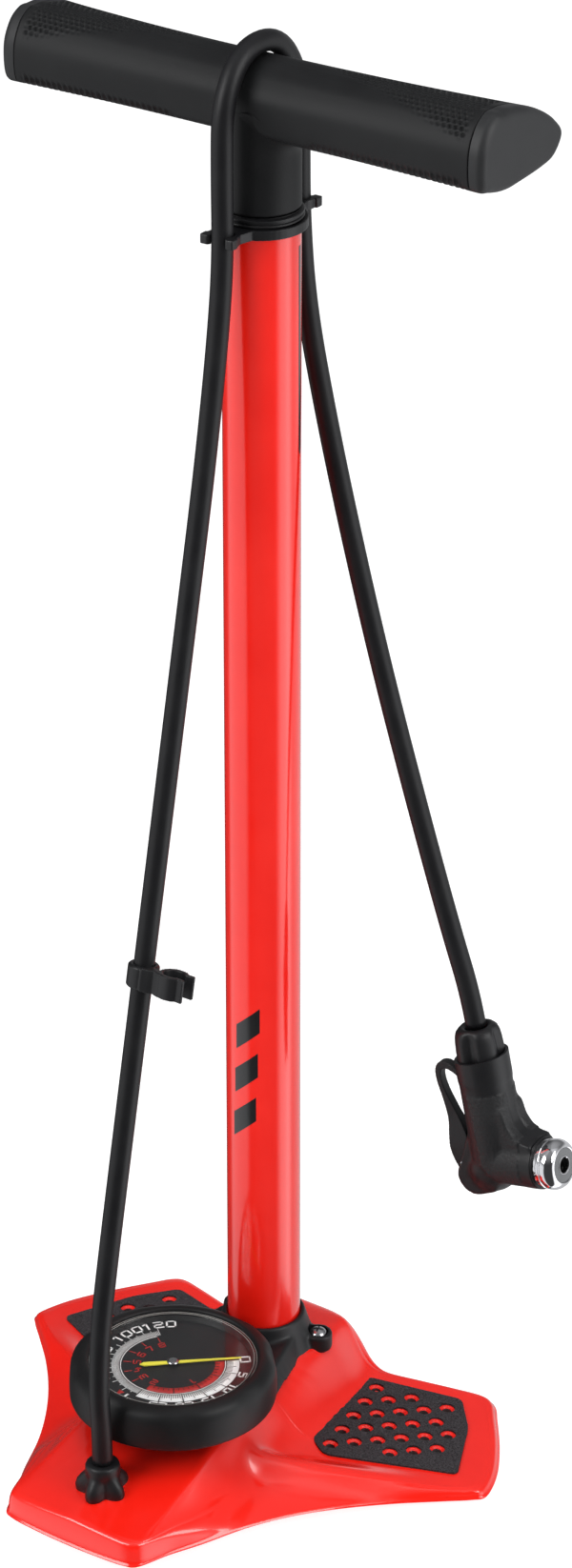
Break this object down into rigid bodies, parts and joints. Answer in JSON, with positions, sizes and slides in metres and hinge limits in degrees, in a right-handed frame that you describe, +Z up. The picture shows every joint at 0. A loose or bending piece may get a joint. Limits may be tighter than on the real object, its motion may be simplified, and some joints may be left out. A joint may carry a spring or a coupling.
{
  "type": "floor bike pump",
  "caption": "Upright hand pump on a three-footed base, with a pressure gauge, a winged handle and a hose that ends in a lever chuck.",
  "frame": {"origin": "on the floor, on the axis of the barrel", "axes": "+Z up along the barrel and the rod, +X along the handle, -Y towards the gauge and the front wing of the base"},
  "size_m": [0.311, 0.2358, 0.7627],
  "materials": {
    "red_paint": "high gloss enamel",
    "black_rubber": "matte",
    "grip_rubber": "soft matte with moulded pattern",
    "black_plastic": "satin",
    "gloss_black": "polished",
    "grey_rubber": "matte",
    "chrome": "polished",
    "steel": "turned",
    "aluminium": "satin",
    "brass": "turned",
    "hose_rubber": "smooth satin",
    "dial_face": "printed scale with numbers",
    "needle_paint": "bright satin",
    "lens": "clear",
    "white_nylon": "machined"
  },
  "bodies": {
    "root": {"base_shell": "red_paint", "foot_front": "black_rubber", "foot_right": "black_rubber", "foot_left": "black_rubber", "grip_pad_right": "grip_rubber", "grip_pad_left": "grip_rubber", "air_manifold": "aluminium", "foot_bracket": "black_plastic", "bracket_screws": "steel", "barrel": "red_paint", "barrel_plug": "aluminium", "plug_seal": "black_rubber", "valve_spring": "steel", "barrel_cap": "gloss_black", "rod_bush": "white_nylon", "rod_wiper": "black_rubber", "top_bumper": "black_rubber", "hose_holder": "black_plastic", "gauge_boot": "black_rubber", "gauge_case": "gloss_black", "gauge_dial": "dial_face", "dial_ring": "gloss_black", "gauge_lens": "lens", "gauge_stem": "brass", "bourdon_tube": "brass", "gauge_movement": "brass", "hose_nut": "black_plastic", "hose_stub": "brass", "chuck_body": "black_plastic", "chuck_collar": "black_plastic", "valve_gasket": "black_rubber", "nozzle_face": "grey_rubber", "chuck_nozzle": "chrome", "lever_pin": "steel", "hose": "hose_rubber", "hose_clip": "black_plastic"},
    "piston": {"piston_head": "black_plastic", "piston_seal": "black_rubber"},
    "handle": {"piston_rod": "steel", "piston_nut": "steel", "handle_stem": "black_plastic", "handle_pin": "steel", "handle_core": "aluminium", "grip_right": "grip_rubber", "grip_left": "grip_rubber", "handle_centre": "grip_rubber", "end_cap_right": "black_plastic", "end_cap_left": "black_plastic"},
    "needle": {"needle": "needle_paint", "needle_hub": "steel"},
    "chuck_lever": {"chuck_lever": "black_plastic"},
    "chuck_plunger": {"chuck_plunger": "aluminium"},
    "check_valve": {"valve_disc": "black_rubber"}
  },
  "joints": [
    {"name": "piston_slide", "type": "slide", "parent": "root", "child": "piston", "axis": [0, 0, 1], "range_m": [0, 0.558], "deforming": ["hose"]},
    {"name": "handle_turn", "type": "hinge", "parent": "piston", "child": "handle", "pos_m": [0, 0, 0.7], "axis": [0, 0, 1], "range_deg": [-20, 20]},
    {"name": "needle_swing", "type": "hinge", "parent": "root", "child": "needle", "pos_m": [0, -0.0805, 0.068], "axis": [0, 0, 1], "range_deg": [-264, 0], "stiffness_Nm_per_rad": 0.00002, "springref_deg": 17.19},
    {"name": "lever_flip", "type": "hinge", "parent": "root", "child": "chuck_lever", "pos_m": [0.10814, 0.031, 0.17407], "axis": [0, -1, 0], "range_deg": [0, 90]},
    {"name": "plunger_press", "type": "slide", "parent": "root", "child": "chuck_plunger", "axis": [0.9763, 0, 0.2164], "range_m": [0, 0.002]},
    {"name": "check_valve_lift", "type": "slide", "parent": "root", "child": "check_valve", "axis": [0, 0, -1], "range_m": [0, 0.0015], "stiffness_N_per_m": 20, "springref_m": -0.0015, "deforming": ["valve_spring"]}
  ],
  "couplings": [
    {"joint": "plunger_press", "follows": "lever_flip", "m_per_rad": 0.0012669}
  ]
}
